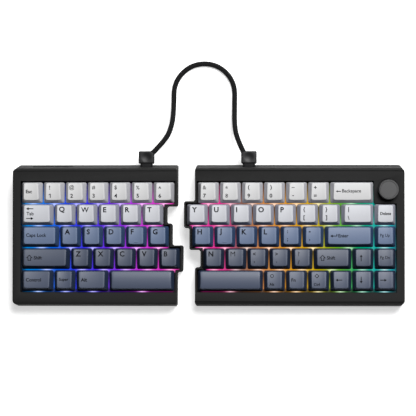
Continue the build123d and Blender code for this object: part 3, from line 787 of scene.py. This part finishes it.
def legend_shapes(legend, width):
    """The pieces of a legend, at their places on the cap's top."""
    caps = settings("keycaps")
    left = -width / 2 + caps.side_inset + LEGEND_INSET
    rear = (caps.pitch - caps.gap) / 2 - caps.rear_inset
    middle = (caps.front_inset - caps.rear_inset) / 2
    lines = legend.split("\n")
    words = legend.split(" ")
    if legend in "←→↑↓":
        sign = sign_shape(legend, LONE_ARROW_SIZE)
        return [placed(sign, left + LONE_ARROW_MIDDLE - text_width(sign) / 2, middle)]
    if len(legend) == 1:
        letter = writing(legend, LETTER_SIZE, NARROW_LETTER_BOLDS.get(legend, LETTER_BOLD))
        return [placed(letter, left, rear - UPPER_LINE)]
    if len(lines) == 3:
        return [
            placed(writing(lines[1], WORD_SIZE, WORD_BOLD), left + 0.3 * mm, middle),
            placed(sign_shape(lines[0], TAB_ARROW_SIZE), left, middle + TAB_ARROW_REACH),
            placed(sign_shape(lines[2], TAB_ARROW_SIZE), left, middle - TAB_ARROW_REACH),
        ]
    if len(lines) == 2 and len(lines[1]) == 1:
        return two_line_shapes(lines, left, rear)
    if len(lines) == 2:
        mark = writing(lines[0], MARK_SIZE, MARK_BOLD)
        word = writing(lines[1], MARKED_WORD_SIZE, MARK_BOLD)
        return [
            placed(mark, left + 0.7 * mm, rear - MARK_LINE),
            placed(word, left, rear - MARKED_WORD_LINE),
        ]
    if len(words[0]) == 1:
        sign = placed(sign_shape(words[0], SIGN_SIZES[words[0]]), left, middle)
        word = writing(words[1], SIGNED_WORD_SIZE, WORD_BOLD)
        return [sign, placed(word, left + text_width(sign) + SIGN_GAP, middle)]
    size = WORD_SIZE if width > 1.2 * caps.pitch or len(legend) < 4 else SMALL_WORD_SIZE
    return [placed(writing(legend, size, WORD_BOLD), left - 0.1 * mm, middle)]


def add_legend(gathered, legend, row, width, matrix, ink):
    """Lays a legend's pieces on the cap's top."""
    for shape in legend_shapes(legend, width):
        for vert in shape.verts:
            vert.co.z += SKIRT_HEIGHT + top_height(row, width, False, vert.co.x, vert.co.y)
        gathered.add(shape, matrix, ink)


def homing_bar(row):
    """The small raised bar on the F and J caps."""
    bar = box_shape(centred(3.6 * mm), centred(0.7 * mm), centred(0.9 * mm))
    bevel_edges(bar, bar.edges[:], 0.2 * mm, 2)
    y = -4.55 * mm
    height = top_height(row, settings("keycaps").pitch, False, 0, y)
    bmesh.ops.translate(bar, verts=bar.verts, vec=(0, y, height))
    return bar


class Gathered:
    """Shapes that become one piece, with the materials that they bring."""

    def __init__(self):
        self.bm = bmesh.new()
        self.materials = []

    def add(self, shape, matrix, *materials):
        """Adds a shape whose faces count the given materials from 0."""
        for material in materials:
            if material not in self.materials:
                self.materials.append(material)
        for face in shape.faces:
            face.material_index = self.materials.index(materials[face.material_index])
        add_to(self.bm, shape, matrix)


class SPLITKEYBOARD_OT_keys(bpy.types.Operator):
    """Build the caps, legends and stems of every key"""

    bl_idname = "split_keyboard.keys"
    bl_label = "Keys"

    def execute(self, context):
        caps = settings("keycaps")
        finishes = []
        # Each row's tops take its caps' colour and its walls a darker copy, which paints shade on them
        for name, painted_shade in PAINTED_WALL_SHADES.items():
            top = getattr(caps, name)
            walls = [value * factor for value, factor in zip(top, painted_shade)]
            finishes.append((cap_material(name + "_caps", top), cap_material(name + "_walls", walls)))
        ink = plain("legend_ink", caps.legend, 0.8, specular=0.1).material
        stem = plain("stem_plastic", (0.5, 0.5, 0.52), 0.4).material
        pieces = {}
        for side in HALVES:
            for node, row, x, y, width, legend in key_places(side):
                matrix = key_plane() @ Matrix.Translation((x, y, 0))
                lifted = matrix @ Matrix.Translation((0, 0, SKIRT_HEIGHT))
                piece = pieces.setdefault(node, Gathered())
                piece.add(cap_shape(row, width, node.endswith("space_bar")), lifted, *finishes[row])
                for shape in stem_shapes(row, width):
                    piece.add(shape, matrix, stem)
                if node in HOMING_KEYS:
                    piece.add(homing_bar(row), lifted, finishes[row][0])
                if legend:
                    add_legend(piece, legend, row, width, matrix, ink)
        for node, piece in pieces.items():
            made = object_from("caps_" + node, piece.bm, piece.materials)
            dress(made, node, slot_of[node], node)
        return {"FINISHED"}


# Lit plates

# Colours of the light under the keys, each from its place along x, left to right
GLOW_STOPS = (
    (-0.165, (0.00, 0.36, 1.00)),
    (-0.140, (0.00, 0.20, 1.00)),
    (-0.118, (0.01, 0.04, 1.00)),
    (-0.098, (0.07, 0.02, 1.00)),
    (-0.078, (0.28, 0.02, 1.00)),
    (-0.055, (0.80, 0.03, 0.85)),
    (-0.030, (1.00, 0.02, 0.55)),
    (0.012, (1.00, 0.03, 0.35)),
    (0.028, (0.28, 0.12, 0.09)),
    (0.045, (0.75, 0.28, 0.08)),
    (0.070, (0.90, 0.38, 0.00)),
    (0.092, (0.80, 0.52, 0.00)),
    (0.112, (0.20, 0.60, 0.03)),
    (0.128, (0.00, 0.50, 0.16)),
    (0.145, (0.00, 0.55, 0.50)),
    (0.165, (0.00, 0.45, 0.60)),
)

# Cells of the plates in a key pitch, at whose corners the light is set
GLOW_CELLS = 8

# How far a key's light reaches: before and behind its front edge, in key pitches, and past its sides
GLOW_FORWARD = 0.06
GLOW_BACKWARD = 0.9
GLOW_ASIDE = 0.6 * mm

# Widths of the bells in which it falls off: to the sides, and backwards for the coloured and the white light
LAMP_WIDTH = 3.6 * mm
GLOW_DEPTH = 0.5
WHITE_DEPTH = 0.1

# Its strength at the least, between lamps, between them before the front row and along the outer edge, and
# the share of white in a lamp's middle
LEAST_GLOW = 0.04
BETWEEN_LAMPS = 0.55
BEFORE_FRONT_ROW = 0.05
OUTER_GLOW = 0.4
WHITE_SHARE = 0.5

# Strips along the outer edge of the key field, which is weaker, and beside its innermost keys, which is dark
OUTER_STRIP = 2.5 * mm
INNER_STRIP = 3 * mm


def glow_colour(x):
    """The light's colour at a place along x."""
    x = min(max(x, GLOW_STOPS[0][0]), GLOW_STOPS[-1][0])
    for (start, first), (end, second) in zip(GLOW_STOPS, GLOW_STOPS[1:]):
        if x <= end:
            break
    return Vector(first).lerp(Vector(second), (x - start) / (end - start))


def bell(distance, width):
    """A bell curve: 1 in its middle, and falling off over the width."""
    return exp(-((distance / width) ** 2))


def glow_at(x, y, side, places):
    """The painted glow that a place on the plate shows: strongest in the gap before each key's middle."""
    caps = settings("keycaps")
    inward = HALVES[side][0]
    for _, row, key_x, key_y, width, _ in places:
        reach = (width + caps.gap) / 2
        behind = (y - key_y) / caps.pitch + 0.5
        beside = abs(x - key_x)
        is_dark = inward * (x - key_x) > reach - INNER_STRIP and is_last(side, key_x, key_y, places)
        if -GLOW_FORWARD < behind < GLOW_BACKWARD and beside < reach + GLOW_ASIDE and not is_dark:
            across = bell(beside, LAMP_WIDTH)
            is_before_front = row == ROW_COUNT - 1 and behind < 0.1
            between = BEFORE_FRONT_ROW if is_before_front else BETWEEN_LAMPS
            falloff = (1 - LEAST_GLOW) * bell(behind, GLOW_DEPTH)
            strength = LEAST_GLOW + falloff * (between + (1 - between) * across)
            if abs(x) > FIELD_X - OUTER_STRIP:
                strength *= OUTER_GLOW
            whiteness = WHITE_SHARE * bell(behind, WHITE_DEPTH) * across
            return (glow_colour(x) * (1 - whiteness) + Vector((1, 1, 1)) * whiteness) * strength
    return Vector((0, 0, 0))


def is_last(side, key_x, key_y, places):
    """Whether a key is the innermost of its row."""
    inward = HALVES[side][0]
    return all(inward * x <= inward * key_x + mm for _, _, x, y, _, _ in places if abs(y - key_y) < mm)


class SPLITKEYBOARD_OT_plates(bpy.types.Operator):
    """Build the lit switch plates"""

    bl_idname = "split_keyboard.plates"
    bl_label = "Lit plates"

    def execute(self, context):
        caps = settings("keycaps")
        material = lit_plate_material()
        for side in HALVES:
            node = side + "_switch_plate"
            bm = merged_copy(node)
            bm.transform(key_plane().inverted())
            x0, x1, y0, y1 = extent(bm)
            step = caps.pitch / GLOW_CELLS
            for axis, low, high in ((0, x0, x1), (1, y0, y1)):
                for number in range(1, int((high - low) / step) + 1):
                    cut_across(bm, axis, low + number * step)
            places = key_places(side)
            glow = bm.verts.layers.float_color.new("glow")
            for vert in bm.verts:
                x, y = vert.co.x, vert.co.y
                vert[glow] = (*glow_at(x, y, side, places), 1)
            bm.transform(key_plane())
            piece = object_from(side + "_lit_plate", bm, [material])
            dress(piece, "keyboard", slot_of[node], node)
        return {"FINISHED"}


# Cases

# Half the width of a groove, its depth and the lean of each of its walls
HALF_GROOVE = 0.45 * mm
GROOVE_DEPTH = 0.9 * mm
GROOVE_LEAN = 0.02 * mm


def cut_grooves(bm):
    """Cuts a fine groove where each bevel meets the flat of the rim."""
    bm.transform(key_plane().inverted())
    lines = []
    for edge in bm.edges:
        if all(abs(v.co.z - RIM_HEIGHT) < SAME_PLACE for v in edge.verts):
            if any(all(abs(v.co.y - y) < SAME_PLACE for v in edge.verts) for y in GROOVES_Y):
                lines.append(edge)
    strips = bevel_edges(bm, lines, HALF_GROOVE, 1, clamp=False)
    bmesh.ops.inset_region(bm, faces=strips, thickness=GROOVE_LEAN, depth=-GROOVE_DEPTH, use_even_offset=True)
    bm.transform(key_plane())


class SPLITKEYBOARD_OT_cases(bpy.types.Operator):
    """Build the upper and lower shells with softened edges"""

    bl_idname = "split_keyboard.cases"
    bl_label = "Cases"

    def execute(self, context):
        material = case_material()
        for side in HALVES:
            for shell in ("top_case", "bottom_case"):
                node = f"{side}_{shell}"
                bm = merged_copy(node)
                bevel_edges(bm, sharp_edges(bm, SHARP_ANGLE), settings("cases").edge, 2)
                if shell == "top_case":
                    cut_grooves(bm)
                smooth_by_angle(bm, SHARP_ANGLE)
                piece = object_from(node + "_softened", bm, [material])
                dress(piece, "keyboard", slot_of[node], node)
        return {"FINISHED"}


class SPLITKEYBOARD_OT_knob(bpy.types.Operator):
    """Build the volume knob"""

    bl_idname = "split_keyboard.knob"
    bl_label = "Volume knob"

    def execute(self, context):
        base = settings("cases").knob
        shader = plain("knob_metal", base, 0.45, metallic=0.3)
        material = add_grain(shader, base, scale=3000, strength=0.2, spread=0.05).material
        low, high = 8.6 * mm, 16.8 * mm
        sunk_top, bore_end = high - 0.25 * mm, high - 1.8 * mm
        radius, edge, bore = 8.55 * mm, 0.6 * mm, 3.05 * mm
        bm = bmesh.new()
        profile = (
            (bore, low),
            (radius, low),
            (radius, high - edge),
            (radius - edge, high),
            (radius - 2 * edge, high),
            (radius - 2.6 * edge, sunk_top),
            (0, sunk_top),
            (0, bore_end),
            (bore, bore_end),
        )
        verts = [bm.verts.new((x, 0, z)) for x, z in profile]
        edges = [bm.edges.new(pair) for pair in zip(verts, verts[1:] + verts[:1])]
        bmesh.ops.spin(
            bm, geom=verts + edges, cent=(0, 0, 0), axis=(0, 0, 1), angle=2 * pi, steps=96, use_merge=True
        )
        bmesh.ops.remove_doubles(bm, verts=bm.verts, dist=SHAPE_WELD)
        bmesh.ops.dissolve_degenerate(bm, edges=bm.edges, dist=SHAPE_WELD)
        bmesh.ops.recalc_face_normals(bm, faces=bm.faces)
        smooth_by_angle(bm, SHARP_ANGLE)
        bm.transform(key_plane() @ Matrix.Translation(KNOB_PLACE))
        piece = object_from("knob", bm, [material])
        dress(piece, "volume_knob", slot_of["volume_knob"], "volume_knob")
        return {"FINISHED"}


class SPLITKEYBOARD_OT_small_parts(bpy.types.Operator):
    """Give the inner and small parts their finishes"""

    bl_idname = "split_keyboard.small_parts"
    bl_label = "Small parts"

    def execute(self, context):
        looks = (
            ("connector_steel", (0.55, 0.55, 0.56), 0.3, 1.0),
            ("foot_rubber", (0.02, 0.02, 0.02), 0.85, 0.0),
            ("circuit_board", (0.01, 0.012, 0.012), 0.4, 0.0),
            ("switch_plastic", (0.12, 0.12, 0.13), 0.25, 0.0),
            ("battery_wrap", (0.18, 0.19, 0.21), 0.3, 0.6),
            ("gasket_foam", (0.03, 0.03, 0.03), 0.9, 0.0),
        )
        finishes = {look[0]: plain(*look).material for look in looks}
        for node, slot in slot_of.items():
            if slot in finishes:
                paint(node, finishes[slot])
        return {"FINISHED"}


# Cable and plugs

# The thumb dimple of a plug, the cuts on each side of its middle, and the rounding of the plug's edges
DIMPLE_RADIUS = 4.6 * mm
DIMPLE_DEPTH = 0.55 * mm
DIMPLE_CUTS = 6
PLUG_EDGE = 0.4 * mm


def press_dimple(bm, side):
    """Presses the shallow round thumb dimple into a plug's upper face."""
    bm.transform(key_plane().inverted())
    x, y = PLUG_X[side], PLUG_Y
    lowest = max(v.co.z for v in bm.verts) - SAME_PLACE
    for axis, middle in ((0, x), (1, y)):
        for step in range(-DIMPLE_CUTS, DIMPLE_CUTS + 1):
            faces = [f for f in bm.faces if all(v.co.z > lowest for v in f.verts)]
            edges = list({e for f in faces for e in f.edges})
            verts = list({v for f in faces for v in f.verts})
            cut_across(bm, axis, middle + step * DIMPLE_RADIUS / DIMPLE_CUTS, verts + edges + faces)
    for vert in bm.verts:
        away = ((vert.co.x - x) ** 2 + (vert.co.y - y) ** 2) / DIMPLE_RADIUS**2
        if away < 1 and vert.co.z > lowest:
            vert.co.z -= DIMPLE_DEPTH * (1 - away) ** 1.5
    bm.transform(key_plane())


class SPLITKEYBOARD_OT_cable(bpy.types.Operator):
    """Build the bridge cable and its plugs"""

    bl_idname = "split_keyboard.cable"
    bl_label = "Bridge cable"

    def execute(self, context):
        sizes = settings("cases")
        curve = bpy.data.curves.new("bridge_cable_line", "CURVE")
        curve.dimensions = "3D"
        curve.bevel_depth = sizes.cable_diameter / 2
        curve.bevel_resolution = 8
        curve.resolution_u = 16
        curve.use_fill_caps = True
        spline = curve.splines.new("NURBS")
        spline.points.add(len(CABLE_ROUTE) - 1)
        for point, place in zip(spline.points, CABLE_ROUTE):
            point.co = (*place, 1)
        spline.order_u = 3
        spline.use_endpoint_u = True
        curve.materials.append(braid_material())
        cable = bpy.data.objects.new("braided_cable", curve)
        context.scene.collection.objects.link(cable)
        dress(cable, "keyboard", slot_of["bridge_cable"], "bridge_cable")
        plastic = plain("plug_plastic", (0.009, 0.009, 0.01), 0.42, specular=0.3).material
        for side in HALVES:
            node = side + "_bridge_plug"
            bm = merged_copy(node)
            bevel_edges(bm, sharp_edges(bm, SHARP_ANGLE), PLUG_EDGE, 3)
            press_dimple(bm, side)
            smooth_by_angle(bm, SHARP_ANGLE)
            plug = object_from(side + "_plug", bm, [plastic])
            dress(plug, "keyboard", slot_of[node], node)
        return {"FINISHED"}


# Stage

# The camera's place and aim, in key-plane coordinates
CAMERA_PLACE = (45 * mm, 40 * mm, 1500 * mm)
CAMERA_AIM = (0, 72.4 * mm, RIM_HEIGHT)


def floor_material():
    """Pale floor that shows white to the camera and keeps the keyboard's shadow."""
    shader = plain("pale_floor", (0.8, 0.8, 0.8), 0.9, specular=0.1)
    light_path = shader.add("ShaderNodeLightPath")
    seen = shader.math("MAXIMUM", light_path.outputs["Is Camera Ray"], light_path.outputs["Is Glossy Ray"])
    emission = shader.add("ShaderNodeEmission")
    shader.link(shader.math("MULTIPLY", seen, 0.6), emission.inputs["Strength"])
    total = shader.add("ShaderNodeAddShader")
    shader.link(shader.principled.outputs[0], total.inputs[0])
    shader.link(emission.outputs[0], total.inputs[1])
    shader.link(total.outputs[0], shader.tree.nodes["Material Output"].inputs["Surface"])
    return shader.material


def world_light():
    """Even light all round, white where the camera looks past the floor."""
    world = bpy.data.worlds.new("studio")
    world.use_nodes = True
    tree = world.node_tree
    background = tree.nodes["Background"]
    path = tree.nodes.new("ShaderNodeLightPath")
    mix = tree.nodes.new("ShaderNodeMix")
    mix.inputs["A"].default_value = settings("lights").room
    mix.inputs["B"].default_value = 1.0
    tree.links.new(path.outputs["Is Camera Ray"], mix.inputs["Factor"])
    tree.links.new(mix.outputs["Result"], background.inputs["Strength"])
    bpy.context.scene.world = world


def area_light(name, place, aim, size, power):
    """A square lamp that faces a point."""
    lamp = bpy.data.lights.new(name, "AREA")
    lamp.size = size
    lamp.energy = power
    holder = bpy.data.objects.new(name, lamp)
    holder.location = place
    holder.rotation_euler = (Vector(aim) - Vector(place)).to_track_quat("-Z", "Y").to_euler()
    bpy.context.scene.collection.objects.link(holder)


class SPLITKEYBOARD_OT_stage(bpy.types.Operator):
    """Build the floor, lamps and camera"""

    bl_idname = "split_keyboard.stage"
    bl_label = "Stage"

    def execute(self, context):
        bm = bmesh.new()
        bmesh.ops.create_grid(bm, x_segments=1, y_segments=1, size=6)
        floor = object_from("floor", bm, [floor_material()])
        world_light()
        area_light("key_lamp", (0.45, 0.75, 1.8), (0, 0, 0), size=1.0, power=settings("lights").key)
        camera_data = bpy.data.cameras.new("camera")
        camera_data.lens = 149.4
        camera_data.sensor_width = 36.0
        camera_data.clip_start = 0.01
        camera = bpy.data.objects.new("camera", camera_data)
        place, aim = Vector(CAMERA_PLACE), Vector(CAMERA_AIM)
        turn = Vector((0, 0, -1)).rotation_difference(aim - place).to_matrix().to_4x4()
        camera.matrix_world = key_plane() @ Matrix.Translation(place) @ turn
        context.scene.collection.objects.link(camera)
        context.scene.camera = camera
        context.scene.view_settings.view_transform = "Standard"
        return {"FINISHED"}


class SPLITKEYBOARD_PT_panel(bpy.types.Panel):
    """The keyboard's pieces and settings"""

    bl_idname = "SPLITKEYBOARD_PT_panel"
    bl_label = "Split keyboard"
    bl_space_type = "VIEW_3D"
    bl_region_type = "UI"
    bl_category = "Split keyboard"

    def draw(self, context):
        for operator in OPERATORS:
            self.layout.operator(operator.bl_idname)
        for group in SETTINGS:
            box = self.layout.box()
            for name in SETTINGS[group].__annotations__:
                box.prop(settings(group), name)


SETTINGS = {"keycaps": KeycapSettings, "cases": CaseSettings, "lights": LightSettings}
OPERATORS = (
    SPLITKEYBOARD_OT_keys,
    SPLITKEYBOARD_OT_plates,
    SPLITKEYBOARD_OT_cases,
    SPLITKEYBOARD_OT_knob,
    SPLITKEYBOARD_OT_small_parts,
    SPLITKEYBOARD_OT_cable,
    SPLITKEYBOARD_OT_stage,
)


def register():
    """Registers the settings, operators and panel."""
    for group in SETTINGS:
        bpy.utils.register_class(SETTINGS[group])
        setattr(bpy.types.Scene, "split_keyboard_" + group, bpy.props.PointerProperty(type=SETTINGS[group]))
    for item in (*OPERATORS, SPLITKEYBOARD_PT_panel):
        bpy.utils.register_class(item)


def unregister():
    """Removes what register() added."""
    for item in (SPLITKEYBOARD_PT_panel, *reversed(OPERATORS)):
        bpy.utils.unregister_class(item)
    for group in SETTINGS:
        delattr(bpy.types.Scene, "split_keyboard_" + group)
        bpy.utils.unregister_class(SETTINGS[group])


def main():
    """Builds every piece and the stage."""
    register()
    bpy.ops.split_keyboard.keys()
    bpy.ops.split_keyboard.plates()
    bpy.ops.split_keyboard.cases()
    bpy.ops.split_keyboard.knob()
    bpy.ops.split_keyboard.small_parts()
    bpy.ops.split_keyboard.cable()
    bpy.ops.split_keyboard.stage()


if __name__ == "__main__":
    main()
